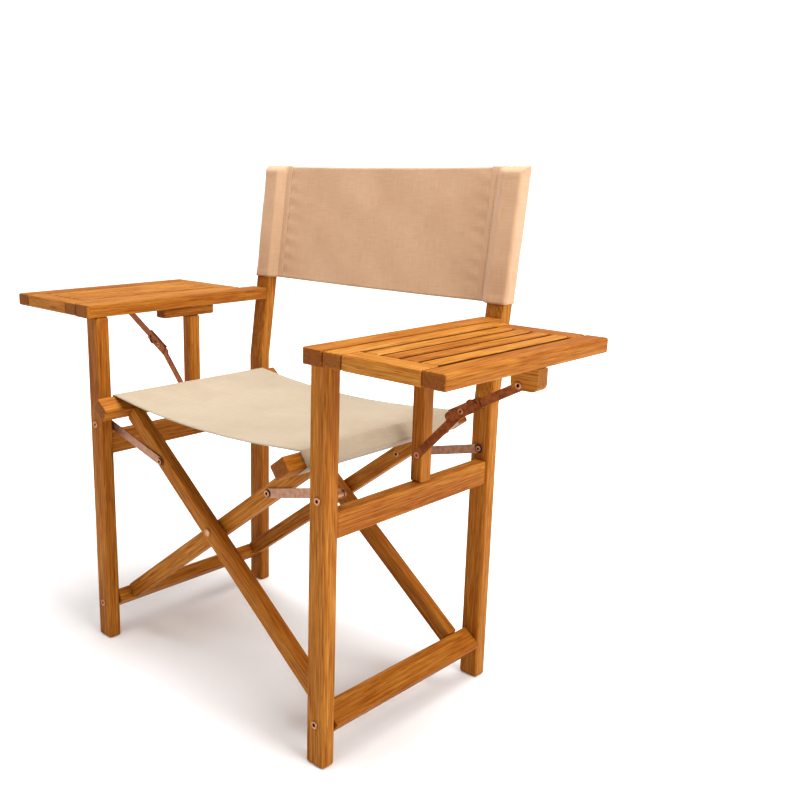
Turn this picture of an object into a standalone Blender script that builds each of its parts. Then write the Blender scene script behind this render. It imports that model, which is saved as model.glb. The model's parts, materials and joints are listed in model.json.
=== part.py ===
"""Folding director's chair with two drop-leaf side tables.

Metres, +Z up. The floor is z = 0, x = 0 is the plane between the two side frames and y = 0 is
halfway from the seat rails' front ends to the top of the back. The sitter faces -Y.

Each side frame is a front leg, a kinked rear leg, a rail, a post and an armrest. Two rigid X frames
join them: each is a seat rail at the top of one side, two crossing bars and a lower bar that turns
between the legs of the other side. Flat links hold the frames upright, and folding stays hold the
tables level.
"""
import bpy
import bmesh
from math import acos, atan2, cos, degrees, hypot, pi, radians, sin, tan
from mathutils import Matrix, Vector

# ---- driving dimensions (metres and degrees) ----
PIVOT_SPACING = 0.560      # between the left and the right leg centre lines
FRAME_DEPTH = 0.408        # front of the front legs to back of the rear legs
ARM_HEIGHT = 0.610         # floor to the armrest's underside
POST_TOP = 0.862           # top of the rear legs
LEG_WIDTH = 0.036          # along X
LEG_DEPTH = 0.025          # along Y
LEG_ROUND = 0.0045
KINK_HEIGHT = 0.490        # where the rear leg starts to lean back
BACK_LEAN = 7.5

SIDE_RAIL_TOP = 0.396
SIDE_RAIL_HEIGHT = 0.040
SIDE_RAIL_THICK = 0.022
SIDE_RAIL_INSET = 0.003    # behind the legs' outer faces
ARM_POST_DEPTH = 0.025
ARM_POST_REAR = 0.2354     # legs' front to the post's rear face

BOARD_THICK = 0.022        # armrests and table frames
BOARD_ROUND = 0.003
ARMREST_ROUND = 0.005
ARMREST_WIDTH = 0.038
ARMREST_CORNER = 0.008
ARMREST_OVERHANG = 0.018   # in front of the legs
ARM_BLOCK = (0.026, 0.118, 0.018)
ARM_BLOCK_REAR = 0.270     # legs' front to its rear end

TABLE_GAP = 0.0025         # armrest to table, over the hinge
TABLE_LENGTH = 0.382
INNER_BAR_WIDTH = 0.033
OUTER_BAR_WIDTH = 0.036
CROSSBAR_LENGTH = 0.131
CROSSBAR_WIDTH = 0.036
SLAT_COUNT = 4
SLAT_GAP = 0.008
SLAT_THICK = 0.014

PIVOT_HEIGHT = 0.068       # lower bar's axis above the floor
OPEN_ANGLE = 37.3          # crossing bars above the floor, chair open
RAIL_INSET = 0.0525        # leg centre line to the seat rail's centre, along X
BAR_WIDTH = 0.028
BAR_THICK = 0.022
SEAT_RAIL_SECTION = (0.034, 0.025)
SEAT_RAIL_FRONT = 0.024    # how far the rails stand in front of the legs
SEAT_RAIL_REAR = 0.016     # how far they stop short of the legs' back
LOWER_BAR_SECTION = (0.040, 0.025)
BAR_SETBACK = 0.0036       # leg to the outer crossing bar
BAR_SPACE = 0.001          # between the two crossing bars
CROSS_BOLT_RADIUS = 0.0037
CROSS_HOLE_RADIUS = 0.0040
BOLT_HEAD = (0.0070, 0.0022)

LINK_DROP = 0.0396         # link pivot on the leg, below the seat rail's centre
LINK_REACH = 0.1555        # crossing bolt to the link's bolt, along the bar
LINK_WIDTH = 0.015
LINK_THICK = 0.0020
LINK_SETBACK = 0.0008      # link to its crossing bar

HINGE_SPOTS = (0.079, 0.304)    # legs' front to the middle of each table hinge
HINGE_LEAF = (0.019, 0.034, 0.0015)
KNUCKLE_RADIUS = 0.0025
PIN_RADIUS = 0.0012
PIN_BORE = 0.0016

STAY_WIDTH = 0.0135
STAY_THICK = 0.0020
STAY_FOOT = (0.006, 0.170)      # lower arm's bolt: out from the leg centre line, below the armrest
STAY_RIVET = (0.0865, 0.0852)
STAY_HEAD = (0.193, 0.026)      # upper arm's screw in the table block
STAY_TAIL = 0.025               # upper arm past the rivet
TABLE_BLOCK = (0.043, 0.022, 0.032)
TABLE_BLOCK_ROUND = 0.010

SEAT_CLOTH = (0.010, 0.046)     # legs' front to the front hem, legs' back to the rear hem
CLOTH_THICK = 0.0020
SEAT_SAG = 0.013
CLOTH_CLEAR = 0.0005
BACK_HEMS = (0.208, 0.005)      # bottom hem below the posts' tops, top hem above them
SLEEVE_DEPTH = 0.050            # post's outer face to the sleeve's seam
SLEEVE_EASE = 0.0003            # extra room in front of and behind the post

GAP = 0.0003                    # between touching solids

# ---- what follows from them ----
PIVOT_X = PIVOT_SPACING / 2
LEAN = tan(radians(BACK_LEAN))
BACK_CLOTH = (POST_TOP - BACK_HEMS[0], POST_TOP + BACK_HEMS[1])
CANVAS_BEHIND = (BACK_CLOTH[1] - KINK_HEIGHT) * LEAN + CLOTH_CLEAR + SLEEVE_EASE + CLOTH_THICK
FRONT = -(FRAME_DEPTH + CANVAS_BEHIND - SEAT_RAIL_FRONT) / 2     # y = 0 is midway over all
REAR = FRONT + FRAME_DEPTH
POST_BACK = FRONT + ARM_POST_REAR
THETA = radians(OPEN_ANGLE)
BAR_REACH = PIVOT_X / cos(THETA)             # crossing bolt to the lower pivot
CROSS_HEIGHT = PIVOT_HEIGHT + PIVOT_X * tan(THETA)
RAIL_REACH = (PIVOT_X - RAIL_INSET) / cos(THETA)      # crossing bolt to the seat rail's centre
LINK_HEIGHT = CROSS_HEIGHT + RAIL_REACH * sin(THETA) - LINK_DROP
LEG_OUTER = PIVOT_X + LEG_WIDTH / 2
LEG_INNER = PIVOT_X - LEG_WIDTH / 2
ARM_TOP = ARM_HEIGHT + BOARD_THICK
STAY_POINTS = [(PIVOT_X + x, ARM_HEIGHT - drop) for x, drop in (STAY_FOOT, STAY_RIVET, STAY_HEAD)]
ARM_FRONT = FRONT - ARMREST_OVERHANG
TABLE_INNER = LEG_INNER + ARMREST_WIDTH + TABLE_GAP
BAR_FIRST = LEG_DEPTH + BAR_SETBACK          # outer crossing bar, from the legs' outer plane
BAR_SECOND = BAR_FIRST + BAR_THICK + BAR_SPACE
HINGE_X = TABLE_INNER - TABLE_GAP / 2
HINGE_Z = ARM_HEIGHT - GAP - 0.0004 - KNUCKLE_RADIUS
# the stay lies just in front of the arm post
STAY_PLANE = POST_BACK - ARM_POST_DEPTH - GAP - 1.5 * STAY_THICK - 0.0008


def clear_scene():
    for obj in list(bpy.data.objects):
        bpy.data.objects.remove(obj, do_unlink=True)


def make_collection(name):
    coll = bpy.data.collections.new(name)
    bpy.context.scene.collection.children.link(coll)
    return coll


def make_material(name, color, roughness, metallic=0.0):
    mat = bpy.data.materials.new(name)
    mat.use_nodes = True
    shader = mat.node_tree.nodes["Principled BSDF"]
    shader.inputs["Base Color"].default_value = (*color, 1.0)
    shader.inputs["Roughness"].default_value = roughness
    shader.inputs["Metallic"].default_value = metallic
    mat.diffuse_color = (*color, 1.0)
    return mat


clear_scene()
CHAIR = make_collection("folding_chair")
CUTTERS = make_collection("cutters")
WOOD = make_material("oiled_acacia", (0.50, 0.22, 0.06), 0.45)
STEEL = make_material("bronzed_steel", (0.16, 0.09, 0.06), 0.40, 0.8)
CANVAS = make_material("cotton_canvas", (0.62, 0.50, 0.38), 0.90)


def pivot(name, location, parent=None):
    """An empty on a joint's axis, which the pieces of one moving body hang from."""
    empty = bpy.data.objects.new(name, None)
    empty.empty_display_size = 0.03
    CHAIR.objects.link(empty)
    empty.matrix_world = Matrix.Translation(location)
    bpy.context.view_layer.update()
    if parent:
        attach(empty, parent)
    return empty


def attach(obj, parent):
    bpy.context.view_layer.update()
    obj.parent = parent
    obj.matrix_parent_inverse = parent.matrix_world.inverted()


def add_bevel(obj, width, segments):
    mod = obj.modifiers.new("rounding", "BEVEL")
    mod.width = width
    mod.segments = segments
    mod.limit_method = "ANGLE"
    mod.angle_limit = radians(40)
    mod.harden_normals = False


def finish(obj, parent, material):
    obj.data.materials.append(material)
    attach(obj, parent)
    return obj


def board(name, size, centre, parent, turn=0.0, rounding=BOARD_ROUND, segments=2, material=None):
    """A straight piece: a rounded box of this size, turned about Y."""
    bm = bmesh.new()
    bmesh.ops.create_cube(bm, size=1.0)
    bmesh.ops.scale(bm, vec=Vector(size), verts=bm.verts)
    mesh = bpy.data.meshes.new(name)
    bm.to_mesh(mesh)
    bm.free()
    obj = bpy.data.objects.new(name, mesh)
    CHAIR.objects.link(obj)
    obj.location = centre
    obj.rotation_euler = (0, turn, 0)
    if rounding:
        add_bevel(obj, rounding, segments)
    return finish(obj, parent, material or WOOD)


def between(low, high):
    """Size and centre of the box with these two corners."""
    low, high = Vector(low), Vector(high)
    return high - low, (low + high) / 2


def sided(side, x_inner, x_outer, y0, y1, z0, z1):
    """The same, for a box given by its distances from the middle plane."""
    xs = sorted((side * x_inner, side * x_outer))
    return between((xs[0], y0, z0), (xs[1], y1, z1))


TURNS = {                                     # the outline's plane, and where its thickness goes
    "XZ": (radians(90), 0, 0),
    "YZ": (radians(90), 0, radians(90)),
    "XY": (0, 0, 0),
}


def sheet(name, outlines, thickness, plane, offset, parent, material, rounding=0.0, segments=2):
    """A flat outline with thickness; its first loop is the outside and the others are holes."""
    curve = bpy.data.curves.new(name, "CURVE")
    curve.dimensions = "2D"
    curve.fill_mode = "BOTH"
    curve.extrude = thickness / 2
    for outline in outlines:
        spline = curve.splines.new("POLY")
        spline.points.add(len(outline) - 1)
        for point, (a, b) in zip(spline.points, outline):
            point.co = (a, b, 0, 1)
        spline.use_cyclic_u = True
    source = bpy.data.objects.new(name + "_outline", curve)
    CHAIR.objects.link(source)
    bpy.context.view_layer.update()
    graph = bpy.context.evaluated_depsgraph_get()
    mesh = bpy.data.meshes.new_from_object(source.evaluated_get(graph))
    bpy.data.objects.remove(source, do_unlink=True)
    bm = bmesh.new()
    bm.from_mesh(mesh)
    bmesh.ops.remove_doubles(bm, verts=bm.verts, dist=0.00001)
    bm.to_mesh(mesh)
    bm.free()
    mesh.name = name
    obj = bpy.data.objects.new(name, mesh)
    CHAIR.objects.link(obj)
    obj.location = offset
    obj.rotation_euler = TURNS[plane]
    if rounding:
        add_bevel(obj, rounding, segments)
    return finish(obj, parent, material)


def arc(cx, cy, radius, start, end, steps):
    return [(cx + radius * cos(start + (end - start) * i / steps),
             cy + radius * sin(start + (end - start) * i / steps)) for i in range(steps + 1)]


def strap(p, q, width, past=0.0, steps=8):
    """A flat strap's outline with round ends, from bolt p (and a little past it) to bolt q."""
    along = atan2(q[1] - p[1], q[0] - p[0])
    start = (p[0] - past * cos(along), p[1] - past * sin(along))
    return (arc(*q, width / 2, along - pi / 2, along + pi / 2, steps)
            + arc(*start, width / 2, along + pi / 2, along + 3 * pi / 2, steps))


def cylinder(name, radius, length, centre, collection, vertices=16):
    """A round bar along Y."""
    bm = bmesh.new()
    bmesh.ops.create_cone(bm, cap_ends=True, segments=vertices, radius1=radius, radius2=radius,
                          depth=length)
    mesh = bpy.data.meshes.new(name)
    bm.to_mesh(mesh)
    bm.free()
    obj = bpy.data.objects.new(name, mesh)
    collection.objects.link(obj)
    obj.location = centre
    obj.rotation_euler = (radians(90), 0, 0)
    return obj


def cutter(name, radius, length, centre):
    obj = cylinder(name, radius, length, centre, CUTTERS)
    obj.hide_render = True
    obj.display_type = "WIRE"
    return obj


def combine(obj, other, operation):
    mod = obj.modifiers.new(operation.lower(), "BOOLEAN")
    mod.operation = operation
    mod.solver = "EXACT"
    mod.object = other


def turned(name, profile, location, turn, parent, material, steps=24):
    """A profile (radius, height) turned about its own Z axis, outer side from top to bottom."""
    mesh = bpy.data.meshes.new(name)
    points = [(r, 0, h) for r, h in profile]
    mesh.from_pydata(points, [(i, i + 1) for i in range(len(points) - 1)], [])
    obj = bpy.data.objects.new(name, mesh)
    CHAIR.objects.link(obj)
    mod = obj.modifiers.new("turning", "SCREW")
    mod.steps = steps
    mod.render_steps = steps
    mod.use_merge_vertices = True
    mod.merge_threshold = 0.00001
    obj.location = location
    obj.rotation_euler = turn
    finish(obj, parent, material)
    mesh.shade_smooth()
    return obj


def post_y(z):
    """How far the rear leg has leaned back at this height."""
    return max(0.0, z - KINK_HEIGHT) * LEAN


# ---- side frames ----
def side_frame(word, side, body):
    front_leg = sided(side, LEG_INNER, LEG_OUTER, FRONT, FRONT + LEG_DEPTH, 0, ARM_HEIGHT - GAP)
    board(f"{word}_front_leg", *front_leg, body, rounding=LEG_ROUND, segments=3)

    leg_front = REAR - LEG_DEPTH
    top = post_y(POST_TOP)
    profile = [(leg_front, 0), (REAR, 0), (REAR, KINK_HEIGHT), (REAR + top, POST_TOP),
               (leg_front + top, POST_TOP), (leg_front, KINK_HEIGHT)]
    sheet(f"{word}_rear_leg", [profile], LEG_WIDTH, "YZ", (side * PIVOT_X, 0, 0), body, WOOD,
          rounding=LEG_ROUND, segments=3)

    rail_outer = LEG_OUTER - SIDE_RAIL_INSET
    rail_inner = rail_outer - SIDE_RAIL_THICK
    rail = sided(side, rail_inner, rail_outer, FRONT + LEG_DEPTH + GAP, leg_front - GAP,
                 SIDE_RAIL_TOP - SIDE_RAIL_HEIGHT, SIDE_RAIL_TOP)
    board(f"{word}_side_rail", *rail, body)

    block_x, block_y, block_z = ARM_BLOCK
    block_bottom = ARM_HEIGHT - GAP - block_z
    post = sided(side, rail_inner, rail_outer, POST_BACK - ARM_POST_DEPTH, POST_BACK,
                 SIDE_RAIL_TOP + GAP, block_bottom - GAP)
    board(f"{word}_arm_post", *post, body)
    block_rear = FRONT + ARM_BLOCK_REAR
    block = sided(side, rail_inner, rail_inner + block_x, block_rear - block_y, block_rear,
                  block_bottom, ARM_HEIGHT - GAP)
    board(f"{word}_arm_block", *block, body)

    # the armrest ends against the leaning rear leg; its inner front corner is round
    arm_rear = leg_front + post_y(ARM_HEIGHT) - GAP
    inner, outer, r = LEG_INNER, LEG_INNER + ARMREST_WIDTH, ARMREST_CORNER
    plan = [(outer, ARM_FRONT), (outer, arm_rear), (inner, arm_rear)]
    plan += arc(inner + r, ARM_FRONT + r, r, pi, 1.5 * pi, 6)
    if side < 0:
        plan = [(-x, y) for x, y in reversed(plan)]
    sheet(f"{word}_armrest", [plan], BOARD_THICK, "XY", (0, 0, ARM_HEIGHT + BOARD_THICK / 2),
          body, WOOD, rounding=ARMREST_ROUND, segments=3)


# ---- side tables ----
def table(word, side, body):
    y0, y1 = ARM_FRONT, ARM_FRONT + TABLE_LENGTH
    cross_inner = TABLE_INNER + INNER_BAR_WIDTH + GAP
    cross_outer = cross_inner + CROSSBAR_LENGTH
    outer = cross_outer + GAP + OUTER_BAR_WIDTH
    bars = {
        "inner_bar": (TABLE_INNER, TABLE_INNER + INNER_BAR_WIDTH, y0, y1),
        "outer_bar": (cross_outer + GAP, outer, y0, y1),
        "front_crossbar": (cross_inner, cross_outer, y0, y0 + CROSSBAR_WIDTH),
        "rear_crossbar": (cross_inner, cross_outer, y1 - CROSSBAR_WIDTH, y1),
    }
    for name, limits in bars.items():
        board(f"{word}_table_{name}", *sided(side, *limits, ARM_HEIGHT, ARM_TOP), body)

    pitch = (CROSSBAR_LENGTH - SLAT_GAP) / SLAT_COUNT
    for i in range(SLAT_COUNT):
        x = cross_inner + SLAT_GAP + i * pitch
        slat = sided(side, x, x + pitch - SLAT_GAP, y0 + CROSSBAR_WIDTH + GAP,
                     y1 - CROSSBAR_WIDTH - GAP, ARM_TOP - SLAT_THICK, ARM_TOP)
        board(f"{word}_table_slat_{i + 1}", *slat, body, rounding=0.0015, segments=1)

    # the block that takes the stay's screw, in front of the stay, its lower edges rounded
    width, depth, height = TABLE_BLOCK
    r = TABLE_BLOCK_ROUND
    x0, x1 = outer - width, outer
    top = ARM_HEIGHT - GAP
    profile = ([(x0, top)] + arc(x0 + r, top - height + r, r, pi, 1.5 * pi, 6)
               + arc(x1 - r, top - height + r, r, 1.5 * pi, 2 * pi, 6) + [(x1, top)])
    if side < 0:
        profile = [(-x, z) for x, z in reversed(profile)]
    y_block = STAY_PLANE - STAY_THICK / 2 - GAP - depth / 2
    sheet(f"{word}_table_block", [profile], depth, "XZ", (0, y_block, 0), body, WOOD,
          rounding=0.0015, segments=1)


def hinge(word, side, number, y, fixed, moving):
    """A butt hinge under the joint; the fixed leaf carries the pin."""
    leaf_x, leaf_y, leaf_z = HINGE_LEAF
    half = leaf_y / 2
    leaf_top = ARM_HEIGHT - GAP
    spans = {"fixed": (y - half, y - GAP / 2), "moving": (y + GAP / 2, y + half)}
    for kind, body, inward in (("fixed", fixed, -1), ("moving", moving, 1)):
        near = HINGE_X + inward * 0.0004
        far = HINGE_X + inward * leaf_x
        name = f"{word}_hinge_{number}_{kind}"
        a, b = spans[kind]
        leaf = sided(side, min(near, far), max(near, far), a, b, leaf_top - leaf_z, leaf_top)
        obj = board(name, *leaf, body, rounding=0, material=STEEL)
        middle = (side * HINGE_X, (a + b) / 2, HINGE_Z)
        knuckle = cylinder(name + "_knuckle", KNUCKLE_RADIUS, b - a, middle, CUTTERS)
        knuckle.hide_render = True
        knuckle.display_type = "WIRE"
        combine(obj, knuckle, "UNION")
        if kind == "fixed":
            pin = cutter(name + "_pin", PIN_RADIUS, leaf_y - 0.002, (side * HINGE_X, y, HINGE_Z))
            combine(obj, pin, "UNION")
        else:
            bore = cutter(name + "_bore", PIN_BORE, leaf_y * 2, (side * HINGE_X, y, HINGE_Z))
            combine(obj, bore, "DIFFERENCE")


# ---- the two X frames ----
def bar_spots(outer_at_front):
    """Centre y of the front and the rear crossing bar of one X frame."""
    first = BAR_FIRST + BAR_THICK / 2
    second = BAR_SECOND + BAR_THICK / 2
    if outer_at_front:
        return FRONT + first, REAR - second
    return FRONT + second, REAR - first


def x_frame(word, rail_side, outer_at_front, body):
    """Seat rail on rail_side, lower bar on the other side, and two bars between them."""
    turn = -rail_side * THETA
    up = Vector((rail_side * cos(THETA), 0, sin(THETA)))
    cross = Vector((0, 0, CROSS_HEIGHT))
    names = {-1: "left", 1: "right"}

    rail_centre = cross + up * RAIL_REACH
    y0, y1 = FRONT - SEAT_RAIL_FRONT, REAR - SEAT_RAIL_REAR
    rail_centre.y = (y0 + y1) / 2
    board(f"{names[rail_side]}_seat_rail", (SEAT_RAIL_SECTION[0], y1 - y0, SEAT_RAIL_SECTION[1]),
          rail_centre, body, turn)

    lower_centre = cross - up * BAR_REACH
    lower_centre.y = (FRONT + REAR) / 2
    lower_length = FRAME_DEPTH - 2 * LEG_DEPTH - 2 * GAP
    board(f"{names[-rail_side]}_lower_bar",
          (LOWER_BAR_SECTION[0], lower_length, LOWER_BAR_SECTION[1]), lower_centre, body, turn)

    low = -BAR_REACH + LOWER_BAR_SECTION[0] / 2 + GAP
    high = RAIL_REACH - SEAT_RAIL_SECTION[0] / 2 - GAP
    for place, y in zip(("front", "rear"), bar_spots(outer_at_front)):
        centre = cross + up * (low + high) / 2
        centre.y = y
        bar = board(f"{word}_{place}_bar", (high - low, BAR_THICK, BAR_WIDTH), centre, body, turn)
        hole = cutter(f"{word}_{place}_hole", CROSS_HOLE_RADIUS, 2 * BAR_THICK, (0, y, CROSS_HEIGHT))
        combine(bar, hole, "DIFFERENCE")


def cross_bolt(place, end, body):
    """A bolt through both bars, with its head towards the leg."""
    outer = BAR_FIRST - GAP
    inner = BAR_SECOND + BAR_THICK + GAP
    head_radius, head = BOLT_HEAD
    length = inner - outer
    profile = [(0, head), (head_radius * 0.7, head), (head_radius, head * 0.5), (head_radius, 0),
               (CROSS_BOLT_RADIUS, 0), (CROSS_BOLT_RADIUS, -length), (0.0065, -length),
               (0.0065, -length - 0.005), (0, -length - 0.005)]
    y = FRONT + outer if end < 0 else REAR - outer
    turned(f"{place}_cross_bolt", profile, (0, y, CROSS_HEIGHT), (-end * pi / 2, 0, 0), body, STEEL)


# ---- links between the legs and the crossing bars ----
def link(side, place, bar_outer, body):
    """A flat link in front of (or behind) its crossing bar; the far ones stand off the leg."""
    pivot_point = (side * PIVOT_X, LINK_HEIGHT)
    bolt_point = (side * LINK_REACH * cos(THETA), CROSS_HEIGHT + LINK_REACH * sin(THETA))
    depth = (BAR_FIRST if bar_outer else BAR_SECOND) - LINK_SETBACK - LINK_THICK / 2
    y = FRONT + depth if place == "front" else REAR - depth
    name = f"{'left' if side < 0 else 'right'}_{place}_link"
    sheet(name, [strap(pivot_point, bolt_point, LINK_WIDTH)], LINK_THICK, "XZ", (0, y, 0), body, STEEL)


def spacer(side, place, body):
    """A sleeve on the leg's bolt that brings the link out to the inner crossing bar."""
    near = LEG_DEPTH + GAP
    far = BAR_SECOND - LINK_SETBACK - LINK_THICK - GAP
    middle = (near + far) / 2
    y = FRONT + middle if place == "front" else REAR - middle
    name = f"{'left' if side < 0 else 'right'}_{place}_spacer"
    obj = cylinder(name, 0.006, far - near, (side * PIVOT_X, y, LINK_HEIGHT), CHAIR)
    finish(obj, body, STEEL)


# ---- folding stays ----
def stay(word, side, lower_body, upper_body):
    foot, rivet, head = ((side * x, z) for x, z in STAY_POINTS)
    lower_y = STAY_PLANE + STAY_THICK + 0.0008
    sheet(f"{word}_stay_lower", [strap(foot, rivet, STAY_WIDTH)], STAY_THICK, "XZ", (0, lower_y, 0),
          lower_body, STEEL)
    sheet(f"{word}_stay_upper", [strap(rivet, head, STAY_WIDTH, past=STAY_TAIL)], STAY_THICK, "XZ",
          (0, STAY_PLANE, 0), upper_body, STEEL)


# ---- canvas ----
def offset_loop(path, half):
    """A closed outline half a thickness each side of an open path."""
    left, right = [], []
    for i, (x, z) in enumerate(path):
        before = Vector(path[max(i - 1, 0)])
        after = Vector(path[min(i + 1, len(path) - 1)])
        here = Vector((x, z))
        t1 = (here - before).normalized() if i else (after - here).normalized()
        t2 = (after - here).normalized() if i < len(path) - 1 else t1
        normal = Vector((-(t1 + t2).y, (t1 + t2).x)).normalized()
        reach = half / max(normal.dot(Vector((-t1.y, t1.x))), 0.4)
        left.append(tuple(here + normal * reach))
        right.append(tuple(here - normal * reach))
    return left + right[::-1]


def seat_canvas(body):
    """From the underside of one rail, round its outer face, over the span to the other rail."""
    reach = CLOTH_CLEAR + CLOTH_THICK / 2
    long_half = SEAT_RAIL_SECTION[0] / 2
    short_half = SEAT_RAIL_SECTION[1] / 2
    centre = Vector((RAIL_REACH * cos(THETA), CROSS_HEIGHT + RAIL_REACH * sin(THETA)))
    out = Vector((cos(THETA), sin(THETA)))        # outwards and up, along the bar
    over = Vector((-sin(THETA), cos(THETA)))      # inwards and up, across the bar
    corner_round = 0.0025
    long_side, short_side = long_half + reach, short_half + reach

    def at(a, b):
        return centre + out * a + over * b

    half = [at(long_half * -0.35, -short_side), at(long_side - corner_round, -short_side),
            at(long_side, -short_side + corner_round), at(long_side, short_side - corner_round)]
    top = at(long_side - corner_round, short_side)
    steps = 14
    span = [Vector((top.x * (1 - i / steps), top.y - SEAT_SAG * (1 - (1 - i / steps) ** 2)))
            for i in range(steps + 1)]
    right = half + span
    left = [Vector((-p.x, p.y)) for p in reversed(right[:-1])]
    path = [tuple(p) for p in right + left]
    y0, y1 = FRONT + SEAT_CLOTH[0], REAR - SEAT_CLOTH[1]
    sheet("seat_canvas", [offset_loop(path, CLOTH_THICK / 2)], y1 - y0, "XZ", (0, (y0 + y1) / 2, 0),
          body, CANVAS)


def back_canvas(body):
    """A panel with a sleeve at each end, in plan, sheared to follow the leaning posts."""
    z0, z1 = BACK_CLOTH
    middle = (REAR - LEG_DEPTH / 2)
    half_x = LEG_WIDTH / 2 + CLOTH_CLEAR
    half_y = LEG_DEPTH / 2 + CLOTH_CLEAR + SLEEVE_EASE
    thick = CLOTH_THICK
    seam = LEG_OUTER - SLEEVE_DEPTH
    corner = 0.004
    outline = [(-seam, middle - thick / 2), (seam, middle - thick / 2)]
    x0, x1 = PIVOT_X - half_x - thick, PIVOT_X + half_x + thick
    ya, yb = middle - half_y - thick, middle + half_y + thick
    right = [(x0, ya)] + arc(x1 - corner, ya + corner, corner, -pi / 2, 0, 3)
    right += arc(x1 - corner, yb - corner, corner, 0, pi / 2, 3) + [(x0, yb)]
    outline += right + [(seam, middle + thick / 2), (-seam, middle + thick / 2)]
    outline += [(-x, y) for x, y in reversed(right)]
    holes = []
    for side in (1, -1):
        hx0, hx1 = PIVOT_X - half_x, PIVOT_X + half_x
        hole = [(hx0, middle - half_y), (hx1, middle - half_y), (hx1, middle + half_y),
                (hx0, middle + half_y)]
        holes.append([(side * x, y) for x, y in hole])
    obj = sheet("back_canvas", [outline] + holes, z1 - z0, "XY", (0, 0, (z0 + z1) / 2), body, CANVAS)
    shear = Matrix.Identity(4)
    shear[1][2] = LEAN
    rise = Matrix.Translation((0, post_y((z0 + z1) / 2), 0))
    obj.data.transform(rise @ shear)


# ---- assembly ----
def build():
    left_frame = pivot("left_frame_pivot", (-PIVOT_X, 0, PIVOT_HEIGHT))
    frame_b = pivot("x_frame_b_pivot", (-PIVOT_X, 0, PIVOT_HEIGHT), left_frame)
    frame_a = pivot("x_frame_a_pivot", (0, 0, CROSS_HEIGHT), frame_b)
    right_frame = pivot("right_frame_pivot", (PIVOT_X, 0, PIVOT_HEIGHT), frame_a)

    x_frame("x_frame_a", -1, True, frame_a)
    x_frame("x_frame_b", 1, False, frame_b)
    cross_bolt("front", -1, frame_a)
    cross_bolt("rear", 1, frame_a)

    for word, side, frame in (("left", -1, left_frame), ("right", 1, right_frame)):
        side_frame(word, side, frame)
        table_body = pivot(f"{word}_table_pivot", (side * HINGE_X, 0, HINGE_Z), frame)
        table(word, side, table_body)
        for number, y in enumerate(HINGE_SPOTS, 1):
            hinge(word, side, number, FRONT + y, frame, table_body)
        lower = pivot(f"{word}_stay_foot", (side * STAY_POINTS[0][0], STAY_PLANE, STAY_POINTS[0][1]), frame)
        upper = pivot(f"{word}_stay_head", (side * STAY_POINTS[2][0], STAY_PLANE, STAY_POINTS[2][1]), table_body)
        stay(word, side, lower, upper)
        links = pivot(f"{word}_link_pivot", (side * PIVOT_X, 0, LINK_HEIGHT), frame)
        link(side, "front", side < 0, links)
        link(side, "rear", side > 0, links)
        spacer(side, "rear" if side < 0 else "front", frame)

    seat_canvas(frame_a)
    back_canvas(left_frame)


build()
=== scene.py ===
# Folding director's chair with a drop-leaf table on each side: the looks.
import json
import math

import bpy
import numpy as np
from mathutils import Matrix, Vector


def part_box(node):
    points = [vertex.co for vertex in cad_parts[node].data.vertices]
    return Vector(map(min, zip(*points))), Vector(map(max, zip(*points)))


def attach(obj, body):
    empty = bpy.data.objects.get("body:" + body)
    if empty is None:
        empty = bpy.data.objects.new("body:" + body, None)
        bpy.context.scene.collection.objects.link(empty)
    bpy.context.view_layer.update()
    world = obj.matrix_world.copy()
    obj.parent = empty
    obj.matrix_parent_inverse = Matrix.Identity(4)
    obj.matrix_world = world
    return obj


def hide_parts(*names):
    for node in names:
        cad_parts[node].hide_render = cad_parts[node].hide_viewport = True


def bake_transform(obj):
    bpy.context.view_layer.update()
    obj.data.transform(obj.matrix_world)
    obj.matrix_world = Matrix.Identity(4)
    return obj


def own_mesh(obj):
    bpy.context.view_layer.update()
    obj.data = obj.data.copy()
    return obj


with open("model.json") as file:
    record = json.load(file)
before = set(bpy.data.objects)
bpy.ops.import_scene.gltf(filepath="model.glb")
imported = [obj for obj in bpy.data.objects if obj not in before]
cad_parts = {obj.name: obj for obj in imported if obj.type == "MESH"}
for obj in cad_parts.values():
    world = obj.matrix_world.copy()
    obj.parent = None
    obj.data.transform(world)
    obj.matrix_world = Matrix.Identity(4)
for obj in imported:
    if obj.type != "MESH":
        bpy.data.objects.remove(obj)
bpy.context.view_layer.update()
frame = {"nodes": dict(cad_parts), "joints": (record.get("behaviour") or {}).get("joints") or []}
joints = {joint["name"]: joint for joint in frame["joints"]}
print("frame loaded:", len(frame["nodes"]), "solids")

sides = {"left": -1, "right": 1}


def toLinear(code):
    # sRGB hex to linear: below 0.04045 divide by 12.92, above it the 2.4 power curve
    parts = [int(code[i:i + 2], 16) / 255 for i in (1, 3, 5)]
    return tuple(p / 12.92 if p <= 0.04045 else ((p + 0.055) / 1.055) ** 2.4 for p in parts) + (1.0,)


def addNode(tree, kind, values=None, links=None, **settings):
    # one node: its settings, the values of its inputs, and the sockets that feed it
    node = tree.nodes.new(kind)
    for key, value in settings.items():
        setattr(node, key, value)
    for key, value in (values or {}).items():
        node.inputs[key].default_value = value
    for key, source in (links or {}).items():
        tree.links.new(source, node.inputs[key])
    return node


def addRamp(tree, factor, stops):
    # a colour ramp from (place, hex or grey) pairs
    node = addNode(tree, "ShaderNodeValToRGB", links={"Fac": factor})
    band = node.color_ramp
    while len(band.elements) < len(stops):
        band.elements.new(0.5)
    for element, (place, colour) in zip(band.elements, stops):
        element.position = place
        element.color = toLinear(colour) if isinstance(colour, str) else (colour, colour, colour, 1)
    return node.outputs["Color"]


def newMaterial(name):
    material = bpy.data.materials.new(name)
    material.use_nodes = True
    tree = material.node_tree
    tree.nodes.clear()
    shader = addNode(tree, "ShaderNodeBsdfPrincipled")
    addNode(tree, "ShaderNodeOutputMaterial", links={"Surface": shader.outputs[0]})
    return material, tree, shader


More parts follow.
